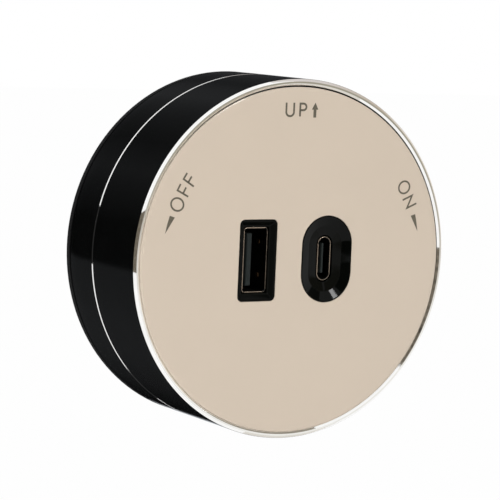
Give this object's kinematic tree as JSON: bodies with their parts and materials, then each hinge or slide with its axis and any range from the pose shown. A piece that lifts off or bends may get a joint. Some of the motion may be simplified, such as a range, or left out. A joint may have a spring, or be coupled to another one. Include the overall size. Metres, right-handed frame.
{
  "type": "twist-lock power track usb charging adapter",
  "caption": "Round twist-lock power track adapter with an upright USB-A and an upright USB-C charging socket in its face",
  "frame": {"origin": "centre of the base plate's rear seat face, on the axis of the twist", "axes": "+Y out of the seat face into the track, the face with its sockets looks along -Y, +Z towards the UP mark, +X to the right as one looks at the face"},
  "size_m": [0.072, 0.0384, 0.072],
  "materials": {
    "plate_black": "fine satin",
    "housing_black": "satin",
    "insulator_black": "satin",
    "sleeve_black": "black anodised, fine turned",
    "face_cream": "high gloss",
    "bezel_black": "high gloss",
    "port_metal": "nickel plated",
    "tongue_grey": "satin",
    "contact_gold": "gold plated",
    "mains_brass": "bright",
    "screw_steel": "zinc plated",
    "spring_steel": "bright",
    "washer_white": "smooth",
    "washer_grey": "matte",
    "spacer_white": "satin",
    "board_green": "solder mask",
    "ferrite_grey": "matte",
    "bobbin_black": "satin",
    "winding_tape": "taped",
    "can_aluminium": "bright",
    "fuse_brown": "smooth",
    "y_capacitor_blue": "dipped",
    "chip_black": "matte"
  },
  "bodies": {
    "base": {"base_plate": "plate_black", "guide_block": "plate_black", "guide_screws": "screw_steel", "thrust_washer": "washer_white", "friction_washer": "washer_grey", "retaining_ring": "spring_steel"},
    "head": {"rear_housing": "housing_black", "face_carrier": "housing_black", "contact_spindle": "insulator_black", "spindle_cap": "insulator_black", "rear_sleeve": "sleeve_black", "front_sleeve": "sleeve_black", "face_panel": "face_cream", "usb_a_bezel": "bezel_black", "usb_c_bezel": "bezel_black", "usb_a_shell": "port_metal", "usb_c_shell": "port_metal", "usb_a_tongue": "tongue_grey", "usb_c_tongue": "tongue_grey", "usb_a_contacts": "contact_gold", "usb_c_contacts": "contact_gold", "live_contact": "mains_brass", "neutral_contact": "mains_brass", "earth_strap": "mains_brass", "earthing_leaf": "mains_brass", "carrier_screws": "screw_steel", "spindle_screws": "screw_steel", "board_screws": "screw_steel", "earth_spring": "spring_steel", "board_spacers": "spacer_white", "board_standoffs": "spacer_white", "power_board": "board_green", "output_board": "board_green", "transformer_core": "ferrite_grey", "input_choke": "ferrite_grey", "transformer_bobbin": "bobbin_black", "link_header": "bobbin_black", "transformer_winding": "winding_tape", "input_capacitors": "can_aluminium", "output_capacitor": "can_aluminium", "fuse": "fuse_brown", "y_capacitor": "y_capacitor_blue", "bridge_rectifier": "chip_black", "primary_controller": "chip_black", "charge_controller": "chip_black"},
    "earth_pin": {"earth_pin": "mains_brass"}
  },
  "joints": [
    {"name": "head_twist", "type": "hinge", "parent": "base", "child": "head", "pos_m": [0, 0, 0], "axis": [0, 1, 0], "range_deg": [0, 90]},
    {"name": "earth_press", "type": "slide", "parent": "head", "child": "earth_pin", "axis": [0, -1, 0], "range_m": [0, 0.0012], "stiffness_N_per_m": 300, "deforming": ["earth_spring"]}
  ]
}
